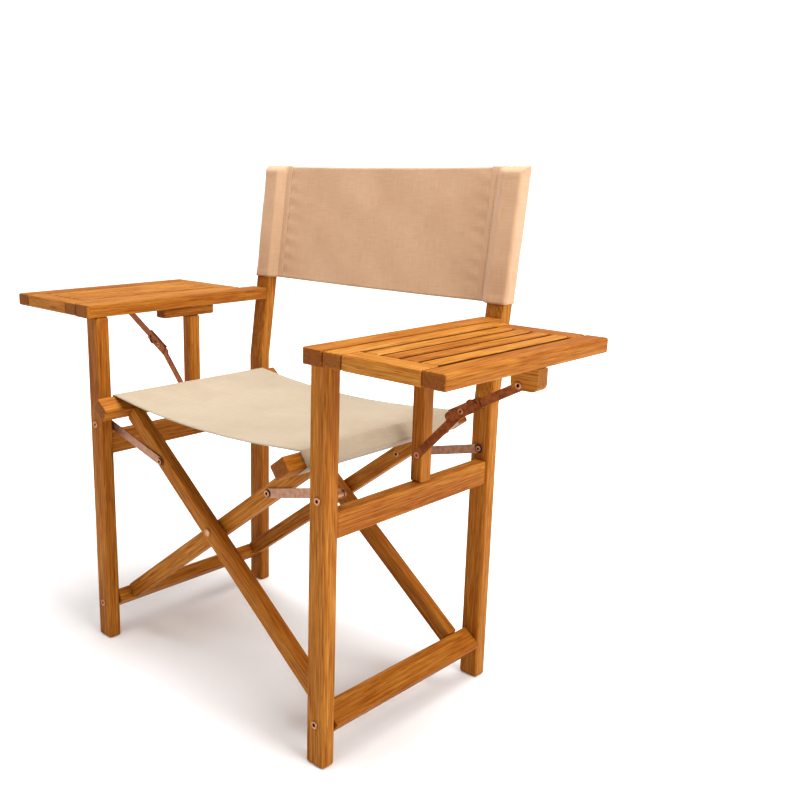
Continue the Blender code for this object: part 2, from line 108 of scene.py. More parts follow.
def paint(obj, material):
    obj.data.materials.clear()
    obj.data.materials.append(material)
    return obj


def makeObject(name, points, faces, material, smooth=True, uv=None):
    # a mesh from an array of points and an array of faces, with its UV per corner
    mesh = bpy.data.meshes.new(name)
    mesh.from_pydata(np.asarray(points, float).reshape(-1, 3), [], [list(map(int, f)) for f in faces])
    if uv is not None:
        layer = mesh.uv_layers.new(name="cloth")
        corners = np.empty(len(mesh.loops), np.int32)
        mesh.loops.foreach_get("vertex_index", corners)
        layer.uv.foreach_set("vector", np.asarray(uv, np.float32)[corners].ravel())
    if smooth:
        mesh.shade_smooth()
    mesh.update()
    obj = bpy.data.objects.new(name, mesh)
    bpy.context.scene.collection.objects.link(obj)
    mesh.materials.append(material)
    return obj


def gridFaces(rows, cols, wrap=False):
    # quads over a rows x cols grid of points; wrap joins the last column to the first
    i, j = np.meshgrid(np.arange(rows - 1), np.arange(cols if wrap else cols - 1), indexing="ij")
    k = (j + 1) % cols
    return np.stack([i * cols + j, i * cols + k, (i + 1) * cols + k, (i + 1) * cols + j], -1).reshape(-1, 4)


def turnedPiece(profile, steps):
    # a profile of (radius, height) carried round +Z: x = r cos a, y = r sin a; its ends are closed by fans
    profile = np.asarray(profile, float)
    angle = np.linspace(0, 2 * np.pi, steps, endpoint=False)
    ring = np.stack([np.cos(angle), np.sin(angle)], -1)
    points = np.concatenate([
        np.concatenate([profile[:, None, :1] * ring[None], np.broadcast_to(
            profile[:, None, 1:], (len(profile), steps, 1))], -1).reshape(-1, 3),
        [[0, 0, profile[0, 1]], [0, 0, profile[-1, 1]]]])
    faces = gridFaces(len(profile), steps, wrap=True)
    rim = np.arange(steps)
    nextRim = (rim + 1) % steps
    first, last = len(points) - 2, len(points) - 1
    low = np.stack([np.full(steps, first), nextRim, rim], -1)
    base = (len(profile) - 1) * steps
    high = np.stack([np.full(steps, last), base + rim, base + nextRim], -1)
    return points, [list(f) for f in faces] + [list(f) for f in low] + [list(f) for f in high]


def placed(points, origin, normal, along=(0, 0, 1)):
    # local axes: +Z to the normal, +X as near to "along" as it can be
    z = np.asarray(normal, float) / np.linalg.norm(normal)
    x = np.asarray(along, float) - z * np.dot(along, z)
    x /= np.linalg.norm(x)
    return np.asarray(points) @ np.array([x, np.cross(z, x), z]) + np.asarray(origin)


def arcPoints(centre, radius, start, end, steps):
    angle = np.radians(np.linspace(start, end, steps))
    return np.stack([centre[0] + radius * np.cos(angle), centre[1] + radius * np.sin(angle)], -1)


def smoothStep(values, low, high):
    t = np.clip((values - low) / (high - low), 0, 1)
    return t * t * (3 - 2 * t)


def middleOf(node):
    low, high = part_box(node)
    return (np.array(low) + np.array(high)) / 2


# oiled acacia, planed and sanded: warm orange brown, long growth lines, dark open pores, brown end grain
wood = {
    "ringWidth": 0.0068,       # growth ring, metres
    "wander": 0.030,           # how far the rings wander
    "poreAcross": 800,         # 1 / pore width, per metre
    "poreAlong": 28,           # 1 / pore length
    "roughness": 0.46,
}
crossJoint = joints["cross"]["pos_m"]
foldJoint = joints["fold"]["pos_m"]
barAngle = math.atan2(crossJoint[2] - foldJoint[2], crossJoint[0] - foldJoint[0])


def acacia(name, turn, seed, pith, tone, paintedGapShade=False):
    # turn brings the board's length onto +X; the rings are circles round a pith line outside the board
    rng = np.random.default_rng(seed)
    material, tree, shader = newMaterial(name)
    coords = addNode(tree, "ShaderNodeTexCoord")
    board = addNode(tree, "ShaderNodeMapping", {"Rotation": turn, "Location": rng.uniform(-3, 3, 3) * (1, 0, 0)},
                    {"Vector": coords.outputs["Object"]})
    tilt = (0, float(rng.uniform(-0.05, 0.05)), float(rng.uniform(-0.05, 0.05)))
    fromPith = addNode(tree, "ShaderNodeMapping", {"Location": pith, "Rotation": tilt},
                       {"Vector": board.outputs[0]})
    wide = addNode(tree, "ShaderNodeMapping", {"Scale": (2.2, 14, 14)}, {"Vector": fromPith.outputs[0]})
    warp = addNode(tree, "ShaderNodeTexNoise", {"Scale": 1.0, "Detail": 2.0}, {"Vector": wide.outputs[0]})
    flat = addNode(tree, "ShaderNodeVectorMath", {1: (0, 1, 1)}, {0: fromPith.outputs[0]}, operation="MULTIPLY")
    radius = addNode(tree, "ShaderNodeVectorMath", None, {0: flat.outputs[0]}, operation="LENGTH")
    wavy = addNode(tree, "ShaderNodeMath", {1: wood["wander"]},
                   {0: warp.outputs["Fac"], 2: radius.outputs["Value"]}, operation="MULTIPLY_ADD")
    rings = addNode(tree, "ShaderNodeMath", {1: wood["ringWidth"]}, {0: wavy.outputs[0]}, operation="DIVIDE")
    phase = addNode(tree, "ShaderNodeMath", None, {0: rings.outputs[0]}, operation="FRACT")
    # each ring darkens slowly towards its late wood, and starts pale again
    ringTone = addRamp(tree, phase.outputs[0], [(0.0, 0.47), (0.15, 0.60), (0.55, 0.54), (0.90, 0.40), (1.0, 0.47)])
    fibre = addNode(tree, "ShaderNodeMapping", {"Scale": (12, 400, 400)}, {"Vector": board.outputs[0]})
    streak = addNode(tree, "ShaderNodeTexNoise", {"Scale": 1.0, "Detail": 4.0, "Roughness": 0.6},
                     {"Vector": fibre.outputs[0]})
    cloudy = addNode(tree, "ShaderNodeTexNoise", {"Scale": 1.0, "Detail": 2.0}, {"Vector": wide.outputs[0]})
    mixed = addNode(tree, "ShaderNodeMix", {"Factor": 0.72}, {2: ringTone, 3: streak.outputs["Fac"]})
    toned = addNode(tree, "ShaderNodeMix", {"Factor": 0.30}, {2: mixed.outputs[0], 3: cloudy.outputs["Fac"]})
    stops = [(0.26, "#562405"), (0.40, "#85480f"), (0.50, "#9b601f"), (0.60, "#b17831"), (0.76, "#cd9a55")]
    colour = addRamp(tree, toned.outputs[0], [(place + tone, code) for place, code in stops])
    poreMap = addNode(tree, "ShaderNodeMapping", {"Scale": (wood["poreAlong"],) + (wood["poreAcross"],) * 2},
                      {"Vector": board.outputs[0]})
    poreNoise = addNode(tree, "ShaderNodeTexNoise", {"Scale": 1.0, "Detail": 1.0}, {"Vector": poreMap.outputs[0]})
    pores = addRamp(tree, poreNoise.outputs["Fac"], [(0.58, 0.0), (0.68, 1.0)])
    poreShare = addNode(tree, "ShaderNodeMath", {1: 0.55}, {0: pores}, operation="MULTIPLY")
    dark = addNode(tree, "ShaderNodeMix", {7: toLinear("#5a2b10")}, {"Factor": poreShare.outputs[0], 6: colour},
                   data_type="RGBA")
    # a board's sawn ends drink more oil, so they are darker
    facing = addNode(tree, "ShaderNodeMapping", {"Rotation": turn}, {"Vector": coords.outputs["Normal"]})
    axes = addNode(tree, "ShaderNodeSeparateXYZ", None, {0: facing.outputs[0]})
    endOn = addNode(tree, "ShaderNodeMath", None, {0: axes.outputs["X"]}, operation="ABSOLUTE")
    endShare = addRamp(tree, endOn.outputs[0], [(0.75, 0.0), (0.95, 0.62)])
    ended = addNode(tree, "ShaderNodeMix", {7: toLinear("#64310f")}, {"Factor": endShare, 6: dark.outputs[2]},
                    data_type="RGBA")
    final = ended.outputs[2]
    if paintedGapShade:  # painted shade: the narrow sides facing the gaps between slats are darkened towards #33180a, standing in for the shade in the gaps
        sideOn = addNode(tree, "ShaderNodeMath", None, {0: axes.outputs["Y"]}, operation="ABSOLUTE")
        gapShadeShare = addRamp(tree, sideOn.outputs[0], [(0.80, 0.0), (0.95, 0.80)])
        shaded = addNode(tree, "ShaderNodeMix", {7: toLinear("#33180a")}, {"Factor": gapShadeShare, 6: final},
                         data_type="RGBA")
        final = shaded.outputs[2]
    tree.links.new(final, shader.inputs["Base Color"])
    sheen = addRamp(tree, poreNoise.outputs["Fac"], [(0.35, wood["roughness"] - 0.05), (0.72, 0.68)])
    tree.links.new(sheen, shader.inputs["Roughness"])
    shader.inputs["IOR"].default_value = 1.45
    shader.inputs["Specular IOR Level"].default_value = 0.14
    relief = addNode(tree, "ShaderNodeMix", {"Factor": 0.6}, {2: streak.outputs["Fac"], 3: poreNoise.outputs["Fac"]})
    bump = addNode(tree, "ShaderNodeBump", {"Strength": 0.35, "Distance": 0.0006}, {"Height": relief.outputs[0]})
    tree.links.new(bump.outputs[0], shader.inputs["Normal"])
    return material


quarter = math.pi / 2
grainTurns = {"X": (0, 0, 0), "Y": (0, 0, -quarter), "Z": (0, quarter, 0)}
grainOf = {
    "Z": ("leg", "arm_post"),
    "Y": ("side_rail", "armrest", "arm_block", "_inner_bar", "_outer_bar", "slat", "lower_bar", "seat_rail"),
    "X": ("crossbar", "table_block"),
}
woodCount = 0
for nodeName in sorted(frame["nodes"]):
    obj = frame["nodes"][nodeName]
    if nodeName.startswith("x_frame"):
        lean = barAngle if nodeName.startswith("x_frame_b") else math.pi - barAngle
        turn = (0, lean, 0)
    else:
        found = [axis for axis, words in grainOf.items() if any(word in nodeName for word in words)]
        if not found:
            continue
        turn = grainTurns[found[0]]
    rng = np.random.default_rng(700 + woodCount)
    # the board's own middle, so that the pith lies a few centimetres outside it
    middle = Matrix.Rotation(turn[2], 3, "Z") @ Matrix.Rotation(turn[1], 3, "Y") @ Vector(middleOf(nodeName))
    swing, far = rng.uniform(0, 2 * math.pi), rng.uniform(0.035, 0.11)
    pith = (0.0, -middle.y + far * math.cos(swing), -middle.z + far * math.sin(swing))
    tone = float(rng.uniform(-0.022, 0.022))
    if "_table_" in nodeName:  # the tables are cut from paler boards
        tone -= 0.028
    # slats and inner bars get painted shade on their sides that face the gaps
    gapShadePainted = "slat" in nodeName or "_inner_bar" in nodeName
    paint(obj, acacia(f"oiled_acacia_{nodeName}", turn, 40 + woodCount, pith, tone, gapShadePainted))
    woodCount += 1
print("wood:", woodCount, "boards")


def bronzedSteel(name, colour, roughness, metallic=0.9):
    # steel strip and bolts with a thin bronze plating: brownish, softly shiny, in soft patches of two tones
    material, tree, shader = newMaterial(name)
    coords = addNode(tree, "ShaderNodeTexCoord")
    patches = addNode(tree, "ShaderNodeTexNoise", {"Scale": 140.0, "Detail": 3.0},
                      {"Vector": coords.outputs["Object"]})
    tone = addRamp(tree, patches.outputs["Fac"], [(0.35, colour[0]), (0.65, colour[1])])
    tree.links.new(tone, shader.inputs["Base Color"])
    rough = addRamp(tree, patches.outputs["Fac"], [(0.3, roughness), (0.7, roughness + 0.18)])
    tree.links.new(rough, shader.inputs["Roughness"])
    shader.inputs["Metallic"].default_value = metallic
    fine = addNode(tree, "ShaderNodeTexNoise", {"Scale": 900.0}, {"Vector": coords.outputs["Object"]})
    bump = addNode(tree, "ShaderNodeBump", {"Strength": 0.15, "Distance": 0.0003}, {"Height": fine.outputs["Fac"]})
    tree.links.new(bump.outputs[0], shader.inputs["Normal"])
    return material


strapMetal = bronzedSteel("bronzed_steel_strap", ("#96705a", "#b08c76"), 0.36)
stayMetal = bronzedSteel("copper_bronzed_steel", ("#7a4426", "#9c6038"), 0.36)
boltMetal = bronzedSteel("bronzed_steel_bolt", ("#a5714f", "#c79874"), 0.28)
darkMetal = bronzedSteel("blackened_steel", ("#241a17", "#3a2b26"), 0.42)
for nodeName, obj in frame["nodes"].items():
    if "stay" in nodeName:
        paint(obj, stayMetal)
    elif "link" in nodeName or "hinge" in nodeName:
        paint(obj, strapMetal)
    elif any(word in nodeName for word in ("cross_bolt", "spacer")):
        paint(obj, boltMetal)

# the rear leg: upright to its kink, then leaning back; its half sizes are read to a micrometre, as boxes are
# held in single precision
lowLeg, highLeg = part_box("right_rear_leg")
frontLow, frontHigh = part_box("right_front_leg")
post = {"halfWide": round((highLeg.x - lowLeg.x) / 2, 6), "halfDeep": round((frontHigh.y - frontLow.y) / 2, 6),
        "kink": 0.490, "lean": 7.5, "gap": 0.0003}
post["back"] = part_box("right_lower_bar")[1].y + post["gap"] + 2 * post["halfDeep"]
postX = (lowLeg.x + highLeg.x) / 2
postMiddleY = post["back"] - post["halfDeep"]

boltHead = {"radius": 0.0062, "height": 0.0021, "socket": 0.0026, "socketDepth": 0.0016, "steps": 36}
washer = {"radius": 0.0078, "height": 0.0008, "hole": 0.0030}


def makeBolt(name, at, normal, body, scale=1.0, material=None, sunk=0.0):
    # a low domed head with a round-cornered socket: height falls as a quarter circle towards the rim
    r, h = boltHead["radius"] * scale, boltHead["height"] * scale
    s, d = boltHead["socket"] * scale, boltHead["socketDepth"] * scale
    arch = np.radians(np.linspace(0, 90, 6))
    dome = [(r - 0.25 * r * (1 - math.cos(a)), h * 0.35 + h * 0.65 * math.sin(a)) for a in arch]
    profile = [(r, 0.0002)] + dome + [(s * 1.25, h), (s, h - 0.0003), (s * 0.98, h - d)]
    points, faces = turnedPiece(profile, boltHead["steps"])
    at = np.asarray(at, float) - np.asarray(normal, float) * sunk
    obj = makeObject(name, placed(points, at, normal, (1, 0, 0)), faces, material or boltMetal)
    obj.data.materials.append(darkMetal)
    # the faces of the socket take the second, dark metal
    steps, inner = boltHead["steps"], len(profile) - 3
    marks = np.zeros(len(obj.data.polygons), np.int32)
    marks[(inner + 1) * steps:(len(profile) - 1) * steps] = 1
    marks[len(marks) - steps:] = 1
    obj.data.polygons.foreach_set("material_index", marks)
    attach(obj, body)
    return obj


def makeWasher(name, at, normal, body, scale=1.0):
    # a flat ring with rounded rims, as a closed profile carried round
    r, h, e = washer["radius"] * scale, washer["height"], 0.0002
    profile = [(r - e, 0), (r, e), (r, h - e), (r - e, h)]
    points, faces = turnedPiece(profile, 32)
    obj = makeObject(name, placed(points, at, normal, (1, 0, 0)), faces, darkMetal)
    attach(obj, body)
    return obj


for word, side in sides.items():
    body = f"{word}_frame"
    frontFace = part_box(f"{word}_front_leg")[0].y
    linkPivot = joints[f"{word}_front_link_turn"]["pos_m"]
    for row, height in (("upper", linkPivot[2]), ("lower", foldJoint[2])):
        makeBolt(f"{word}_front_{row}_leg_bolt", (linkPivot[0], frontFace, height), (0, -1, 0), body, 1.0)
        makeBolt(f"{word}_rear_{row}_leg_bolt", (linkPivot[0], post["back"], height), (0, 1, 0), body, 1.0)
    # bolts of the four links: one at the leg, one at the crossing bar
    for place in ("front", "rear"):
        low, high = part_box(f"{word}_{place}_link")
        boxMiddle = (np.array(low) + np.array(high)) / 2
        barEnd = np.array([2 * boxMiddle[0] - linkPivot[0], 0, 2 * boxMiddle[2] - linkPivot[2]])
        inwards = 1 if place == "front" else -1
        # the link's inner side faces the crossing bar, its outer side the leg
        outerY = low.y if place == "front" else high.y
        innerY = high.y if place == "front" else low.y
        makeWasher(f"{word}_{place}_link_washer", (barEnd[0], outerY, barEnd[2]), (0, -inwards, 0),
                   f"{word}_{place}_link_body", 0.85)
        makeBolt(f"{word}_{place}_link_bolt", (barEnd[0], outerY - inwards * washer["height"], barEnd[2]),
                 (0, -inwards, 0), f"{word}_{place}_link_body", 0.92)
        barName = f"x_frame_{'b' if side > 0 else 'a'}"
        barLow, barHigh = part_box(f"{barName}_{place}_bar")
        farY = barHigh.y if place == "front" else barLow.y
        makeBolt(f"{word}_{place}_bar_nut", (barEnd[0], farY, barEnd[2]), (0, inwards, 0), barName, 0.9)
        makeWasher(f"{word}_{place}_pivot_washer", (linkPivot[0], innerY, linkPivot[2]), (0, inwards, 0),
                   f"{word}_{place}_link_body", 0.95)
        makeBolt(f"{word}_{place}_pivot_nut", (linkPivot[0], innerY + inwards * washer["height"], linkPivot[2]),
                 (0, inwards, 0), f"{word}_{place}_link_body", 0.8)
print("bolts and washers made")

# the folding stay under each table: rivets, a folded catch plate and a half ring over it
catch = {"behind": 0.020, "ahead": 0.036, "width": 0.0175, "thick": 0.0012, "lip": 0.0042}
halfRing = {"radius": 0.0095, "wire": 0.0015, "steps": 22, "along": 0.021, "proud": 0.0016}
stayWidth = 0.0135
for word, side in sides.items():
    footPivot = np.array(joints[f"{word}_stay_foot_pivot"]["pos_m"])
    headPivot = np.array(joints[f"{word}_stay_head_pivot"]["pos_m"])
    lowLower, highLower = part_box(f"{word}_stay_lower")
    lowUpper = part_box(f"{word}_stay_upper")[0]
    # the rivet sits half a width in from the lower arm's far end
    rivet = np.array([side * (max(abs(lowLower.x), abs(highLower.x)) - stayWidth / 2), 0,
                      highLower.z - stayWidth / 2])
    frontY, lowerFront = lowUpper.y, lowLower.y
    makeBolt(f"{word}_stay_foot_rivet", (footPivot[0], lowerFront, footPivot[2]), (0, -1, 0),
             f"{word}_stay_lower_body", 0.95, sunk=0.0017)
    makeWasher(f"{word}_stay_rivet_washer", (rivet[0], frontY, rivet[2]), (0, -1, 0), f"{word}_stay_upper_body", 0.8)
    makeBolt(f"{word}_stay_middle_rivet", (rivet[0], frontY - washer["height"], rivet[2]), (0, -1, 0),
             f"{word}_stay_upper_body", 0.78)
    makeBolt(f"{word}_stay_head_screw", (headPivot[0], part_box(f"{word}_table_block")[0].y, headPivot[2]),
             (0, -1, 0), f"{word}_table", 0.85)
    along = headPivot - rivet
    along[1] = 0
    along /= np.linalg.norm(along)
    # catch plate: a channel folded over the upper arm, carried along it as a constant section
    across, lip, t = catch["width"] / 2, catch["lip"], catch["thick"]
    section = np.array([(-across, lip), (-across, -t), (across, -t), (across, lip), (across - t, lip),
                        (across - t, 0), (-across + t, 0), (-across + t, lip)])
    stations = np.array([-catch["behind"], catch["ahead"]])
    up = np.array([-along[2], 0, along[0]])
    centre = np.array([rivet[0], frontY, rivet[2]])
    points = (centre[None, None] + stations[:, None, None] * along
              + section[None, :, :1] * up + section[None, :, 1:] * np.array([0, 1, 0]))
    faces = [list(f) for f in gridFaces(2, 8, wrap=True)]
    for start in (0, 8):
        caps = [[0, 1, 6, 7], [1, 2, 5, 6], [2, 3, 4, 5]]
        faces += [[start + c for c in (cap if start == 0 else cap[::-1])] for cap in caps]
    plate = makeObject(f"{word}_stay_catch", points, faces, stayMetal, smooth=False)
    bevel = plate.modifiers.new("worn edges", "BEVEL")
    bevel.width, bevel.segments = 0.0003, 2
    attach(plate, f"{word}_stay_upper_body")
    # half ring: a round wire bent through half a turn and standing up from the arm
    turns = np.linspace(0, np.pi, halfRing["steps"])
    loop = np.linspace(0, 2 * np.pi, 10, endpoint=False)
    base = rivet + along * halfRing["along"]
    base[1] = frontY - halfRing["proud"]
    spoke = np.cos(turns)[:, None] * along + np.sin(turns)[:, None] * up
    wire = (base + spoke[:, None] * (halfRing["radius"] + halfRing["wire"] * np.cos(loop)[None, :, None])
            + halfRing["wire"] * np.sin(loop)[None, :, None] * np.array([0, 1, 0]))
    faces = [list(f) for f in gridFaces(halfRing["steps"], 10, wrap=True)]
    faces += [list(range(10))[::-1], list(range((halfRing["steps"] - 1) * 10, halfRing["steps"] * 10))]
    ring = makeObject(f"{word}_stay_half_ring", wire, faces, stayMetal)
    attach(ring, f"{word}_stay_upper_body")
print("stays dressed")


def cottonCanvas(name, stops, threadWidth):
    # plain-woven cotton duck: matt, a fine over-and-under weave, slubs along the threads, faint soft fuzz
    material, tree, shader = newMaterial(name)
    uv = addNode(tree, "ShaderNodeUVMap", uv_map="cloth")
    pitch = math.pi / threadWidth
    parts = addNode(tree, "ShaderNodeSeparateXYZ", None, {0: uv.outputs[0]})
    waves = []
    for axis in ("X", "Y"):
        turned = addNode(tree, "ShaderNodeMath", {1: pitch}, {0: parts.outputs[axis]}, operation="MULTIPLY")
        waves.append(addNode(tree, "ShaderNodeMath", None, {0: turned.outputs[0]}, operation="SINE").outputs[0])
    weave = addNode(tree, "ShaderNodeMath", None, {0: waves[0], 1: waves[1]}, operation="MULTIPLY")
    level = addNode(tree, "ShaderNodeMapRange", {"From Min": -1.0, "From Max": 1.0}, {0: weave.outputs[0]})
    slubs = []
    for scale in ((900, 30, 1), (30, 900, 1)):
        mapped = addNode(tree, "ShaderNodeMapping", {"Scale": scale}, {"Vector": uv.outputs[0]})
        slubs.append(addNode(tree, "ShaderNodeTexNoise", {"Scale": 1.0, "Detail": 2.0},
                             {"Vector": mapped.outputs[0]}).outputs["Fac"])
    slub = addNode(tree, "ShaderNodeMix", {"Factor": 0.5}, {2: slubs[0], 3: slubs[1]})
    mapped = addNode(tree, "ShaderNodeMapping", {"Scale": (9, 9, 9)}, {"Vector": uv.outputs[0]})
    clouds = addNode(tree, "ShaderNodeTexNoise", {"Scale": 1.0, "Detail": 3.0}, {"Vector": mapped.outputs[0]})
    tone = addNode(tree, "ShaderNodeMix", {"Factor": 0.35}, {2: slub.outputs[0], 3: clouds.outputs["Fac"]})
    woven = addNode(tree, "ShaderNodeMix", {"Factor": 0.22}, {2: tone.outputs[0], 3: level.outputs[0]})
    tree.links.new(addRamp(tree, woven.outputs[0], stops), shader.inputs["Base Color"])
    shader.inputs["Roughness"].default_value = 0.92
    shader.inputs["Sheen Weight"].default_value = 0.15
    shader.inputs["Sheen Roughness"].default_value = 0.6
    shader.inputs["Specular IOR Level"].default_value = 0.25
    height = addNode(tree, "ShaderNodeMix", {"Factor": 0.4}, {2: level.outputs[0], 3: slub.outputs[0]})
    bump = addNode(tree, "ShaderNodeBump", {"Strength": 0.5, "Distance": 0.0004}, {"Height": height.outputs[0]})
    tree.links.new(bump.outputs[0], shader.inputs["Normal"])
    return material


seatCloth = cottonCanvas("cotton_canvas_seat", [(0.30, "#9c8c76"), (0.5, "#aa9b85"), (0.7, "#b9ab97")], 0.0011)
backCloth = cottonCanvas("cotton_canvas_back", [(0.30, "#b18b6b"), (0.5, "#c29e7f"), (0.7, "#cfaf91")], 0.0011)
threadStuff, _, threadShader = newMaterial("cotton_thread")
# waxed sewing thread: a little darker and smoother than the cloth
threadShader.inputs["Base Color"].default_value = toLinear("#b08a66")
threadShader.inputs["Roughness"].default_value = 0.7


def addThickness(obj, thick):
    wall = obj.modifiers.new("cloth thickness", "SOLIDIFY")
    wall.thickness, wall.offset = thick, 0
    return obj


def makeStitches(name, starts, ends, normals, body, radius):
    # each stitch is a short six-sided spindle, lifted off the cloth in its middle
    starts, ends, normals = (np.asarray(v, float) for v in (starts, ends, normals))
    t = np.linspace(0, 1, 5)
    swell = np.array([0.35, 0.9, 1.0, 0.9, 0.35])
    angle = np.linspace(0, 2 * np.pi, 6, endpoint=False)
    along = (ends - starts)[:, None]
    side = np.cross(along[:, 0], normals)
    side /= np.linalg.norm(side, axis=1)[:, None]
    lift = (np.sin(np.pi * t) * radius * 1.1)[None, :, None] * normals[:, None]
    axis = starts[:, None] + along * t[None, :, None] + lift
    ring = (np.cos(angle)[None, None, :, None] * side[:, None, None]
            + np.sin(angle)[None, None, :, None] * normals[:, None, None])
    points = axis[:, :, None] + ring * (radius * swell)[None, :, None, None]
    one = [list(f) for f in gridFaces(5, 6, wrap=True)] + [list(range(6))[::-1], list(range(24, 30))]
    faces = [[v + 30 * k for v in face] for k in range(len(starts)) for face in one]
    obj = makeObject(name, points, faces, threadStuff)
    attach(obj, body)
    return obj


def stitchRow(path, spacing, length):
    # stitches laid end to end along a polyline, with gaps
    path = np.asarray(path, float)
    step = np.linalg.norm(np.diff(path, axis=0), axis=1)
    run = np.concatenate([[0], np.cumsum(step)])
    marks = np.arange(spacing, run[-1] - spacing, spacing)
    pick = lambda s: np.stack([np.interp(s, run, path[:, i]) for i in range(3)], -1)
    return pick(marks), pick(marks + length)


seat = {"thick": 0.0016, "sag": 0.013, "clear": 0.0016, "round": 0.0030, "rows": 72, "hem": 0.016}
railMiddle = middleOf("right_seat_rail")
cross = np.array([crossJoint[0], crossJoint[2]])
railPoint = np.array([railMiddle[0], railMiddle[2]])
out = (railPoint - cross) / np.linalg.norm(railPoint - cross)
over = np.array([-out[1], out[0]])
rail = {"halfLong": 0.017, "halfShort": 0.0125}
halfLong, halfShort = rail["halfLong"] + seat["clear"], rail["halfShort"] + seat["clear"]


def seatProfile():
    # half of the cloth's path in the XZ plane, from under the rail round its outer face to the middle
    corner = seat["round"]
    at = lambda a, b: railPoint + out * a + over * b
    rounded = []
    for sa, sb, a0 in ((1, -1, -90), (1, 1, 0)):
        centre = (sa * (halfLong - corner), sb * (halfShort - corner))
        rounded += [at(*p) for p in arcPoints(centre, corner, a0, a0 + 90, 6)]
    under = at(-halfLong * 0.30, -halfShort)
    top = rounded[-1]
    share = np.linspace(0, 1, 40)[1:]
    x = top[0] * (1 - share)
    z = top[1] - seat["sag"] * (1 - (1 - share) ** 2)
    half = np.concatenate([[under], [under + (rounded[0] - under) * 0.5], rounded, np.stack([x, z], -1)])
    mirrored = half[:-1][::-1] * (-1, 1)
    return np.concatenate([half, mirrored])


profile = seatProfile()
run = np.concatenate([[0], np.cumsum(np.linalg.norm(np.diff(profile, axis=0), axis=1))])
lowSeat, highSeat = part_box("seat_canvas")
v = np.linspace(0, 1, seat["rows"])
y = lowSeat.y + (highSeat.y - lowSeat.y) * v
clothX = np.broadcast_to(profile[:, 0], (seat["rows"], len(profile))).copy()
clothZ = np.broadcast_to(profile[:, 1], clothX.shape).copy()
clothY = np.broadcast_to(y[:, None], clothX.shape).copy()
span = np.clip(1 - (clothX / 0.225) ** 2, 0, 1)
onTop = (clothZ > profile[len(profile) // 2, 1] - 0.001) & (np.abs(clothX) < 0.236)
# the free front and rear edges hang a little lower, and faint pulls run in from the rails
edgeDrop = np.exp(-(v / 0.10) ** 2) + np.exp(-((1 - v) / 0.10) ** 2)
pulls = (np.sin(v * 41.0 + 0.6)[:, None] * np.exp(-((np.abs(clothX) - 0.205) / 0.05) ** 2) * 0.0006
         + np.sin(v[:, None] * 17.0 + clothX * 9.0 + 1.1) * 0.0007)
clothZ += np.where(onTop, -0.0022 * edgeDrop[:, None] * span + pulls * np.clip(span * 3, 0, 1), 0)
# folded hems at the front and the rear edge stand slightly proud
hemLine = smoothStep(seat["hem"] - np.minimum(clothY - lowSeat.y, highSeat.y - clothY), 0, 0.0015)
clothZ += np.where(onTop, 0.0006 * hemLine * np.clip(span * 6, 0, 1), 0)
uv = np.stack([np.broadcast_to(run, clothX.shape), clothY - lowSeat.y], -1).reshape(-1, 2)
seatPiece = makeObject("seatCanvas", np.stack([clothX, clothY, clothZ], -1), gridFaces(*clothX.shape),
                       seatCloth, uv=uv)
addThickness(seatPiece, seat["thick"])
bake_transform(seatPiece)
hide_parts("seat_canvas")
print("seat canvas: %.3f m along its path" % run[-1])

# the back canvas: a sleeve round each post and the panel between them
back = {"thick": 0.0014, "clear": 0.0016, "seam": 0.050, "top": 0.8705, "bottom": 0.654, "belly": 0.006,
        "close": 0.0115, "rows": 64, "columns": 120, "hem": 0.012, "flap": 0.013, "short": 0.0012}
# the sleeve's plan: the round of its corners and of its neck beside the seam, and its two layers' half gap
sleeve = {"corner": 0.0055, "neck": 0.006, "layer": 0.0012, "layerEnd": 0.0011}
stitch = {"spacing": 0.0046, "length": 0.0032, "radius": 0.00035}


def leanBack(z):
    # how far the post has leaned to the rear at a height
    return np.maximum(z - post["kink"], 0) * math.tan(math.radians(post["lean"]))


